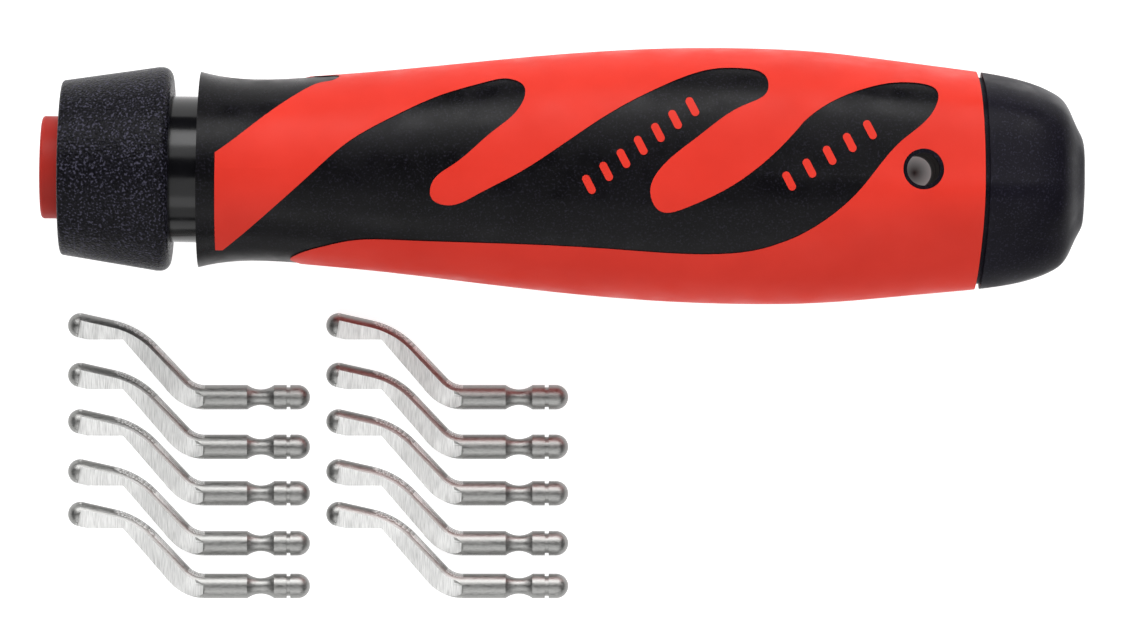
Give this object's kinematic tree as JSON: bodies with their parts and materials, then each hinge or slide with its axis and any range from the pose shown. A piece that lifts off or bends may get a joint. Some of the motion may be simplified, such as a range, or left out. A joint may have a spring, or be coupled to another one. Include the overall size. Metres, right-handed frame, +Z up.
{
  "type": "deburring tool",
  "caption": "Deburring hand tool: two-colour moulded handle with sprung release collar, blade socket, hanging hole and pull-off end cap, with loose S-shaped spare blades.",
  "frame": {"origin": "mouth of the blade socket, on the handle's axis", "axes": "+X from the socket mouth along the handle to the butt, +Z up, away from the floor it lies on"},
  "size_m": [0.1338, 0.0722, 0.0268],
  "materials": {
    "red_plastic": "moulded, fine grain, satin",
    "soft_black": "soft touch overmold, fine grain",
    "gloss_black": "polished moulding",
    "sparked_black": "coarse spark-eroded grain",
    "cap_black": "fine grain",
    "seal_rubber": "smooth rubber",
    "machined_steel": "turned",
    "spring_steel": "drawn wire",
    "ball_steel": "polished",
    "blade_steel": "satin shank, bright ground cutting face"
  },
  "bodies": {
    "handle": {"grip_core": "red_plastic", "nose_cap": "red_plastic", "grip_overmold": "soft_black", "neck_sleeve": "gloss_black", "hang_hole_bush": "cap_black", "neck_seal_ring": "seal_rubber", "spindle": "machined_steel", "stop_plug": "machined_steel", "nose_snap_ring": "spring_steel", "rear_spring_washer": "machined_steel"},
    "collar": {"release_collar": "sparked_black", "front_spring_washer": "machined_steel", "collar_spring": "spring_steel"},
    "cap": {"end_cap": "cap_black", "cap_friction_ring": "seal_rubber"},
    "ball_1": {"lock_ball_1": "ball_steel"},
    "ball_2": {"lock_ball_2": "ball_steel"},
    "ball_3": {"lock_ball_3": "ball_steel"},
    "blade_01_body": {"blade_01": "blade_steel"},
    "blade_02_body": {"blade_02": "blade_steel"},
    "blade_03_body": {"blade_03": "blade_steel"},
    "blade_04_body": {"blade_04": "blade_steel"},
    "blade_05_body": {"blade_05": "blade_steel"},
    "blade_06_body": {"blade_06": "blade_steel"},
    "blade_07_body": {"blade_07": "blade_steel"},
    "blade_08_body": {"blade_08": "blade_steel"},
    "blade_09_body": {"blade_09": "blade_steel"},
    "blade_10_body": {"blade_10": "blade_steel"}
  },
  "joints": [
    {"name": "collar_slide", "type": "slide", "parent": "handle", "child": "collar", "axis": [1, 0, 0], "range_m": [0, 0.0032], "stiffness_N_per_m": 600, "springref_m": -0.003, "deforming": ["collar_spring"]},
    {"name": "cap_pull", "type": "slide", "parent": "handle", "child": "cap", "axis": [1, 0, 0], "range_m": [0, 0.02]},
    {"name": "ball_1_lift", "type": "slide", "parent": "handle", "child": "ball_1", "axis": [0, 0, 1], "range_m": [0, 0.00056]},
    {"name": "ball_2_lift", "type": "slide", "parent": "handle", "child": "ball_2", "axis": [0, -0.866, -0.5], "range_m": [0, 0.00056]},
    {"name": "ball_3_lift", "type": "slide", "parent": "handle", "child": "ball_3", "axis": [0, 0.866, -0.5], "range_m": [0, 0.00056]},
    {"name": "blade_01_lift", "type": "slide", "parent": "handle", "child": "blade_01_body", "axis": [0, 0, 1], "range_m": [0, 0.02]},
    {"name": "blade_02_lift", "type": "slide", "parent": "handle", "child": "blade_02_body", "axis": [0, 0, 1], "range_m": [0, 0.02]},
    {"name": "blade_03_lift", "type": "slide", "parent": "handle", "child": "blade_03_body", "axis": [0, 0, 1], "range_m": [0, 0.02]},
    {"name": "blade_04_lift", "type": "slide", "parent": "handle", "child": "blade_04_body", "axis": [0, 0, 1], "range_m": [0, 0.02]},
    {"name": "blade_05_lift", "type": "slide", "parent": "handle", "child": "blade_05_body", "axis": [0, 0, 1], "range_m": [0, 0.02]},
    {"name": "blade_06_lift", "type": "slide", "parent": "handle", "child": "blade_06_body", "axis": [0, 0, 1], "range_m": [0, 0.02]},
    {"name": "blade_07_lift", "type": "slide", "parent": "handle", "child": "blade_07_body", "axis": [0, 0, 1], "range_m": [0, 0.02]},
    {"name": "blade_08_lift", "type": "slide", "parent": "handle", "child": "blade_08_body", "axis": [0, 0, 1], "range_m": [0, 0.02]},
    {"name": "blade_09_lift", "type": "slide", "parent": "handle", "child": "blade_09_body", "axis": [0, 0, 1], "range_m": [0, 0.02]},
    {"name": "blade_10_lift", "type": "slide", "parent": "handle", "child": "blade_10_body", "axis": [0, 0, 1], "range_m": [0, 0.02]}
  ],
  "couplings": [
    {"joint": "ball_1_lift", "follows": "collar_slide", "ratio": 0.17},
    {"joint": "ball_2_lift", "follows": "collar_slide", "ratio": 0.17},
    {"joint": "ball_3_lift", "follows": "collar_slide", "ratio": 0.17}
  ]
}
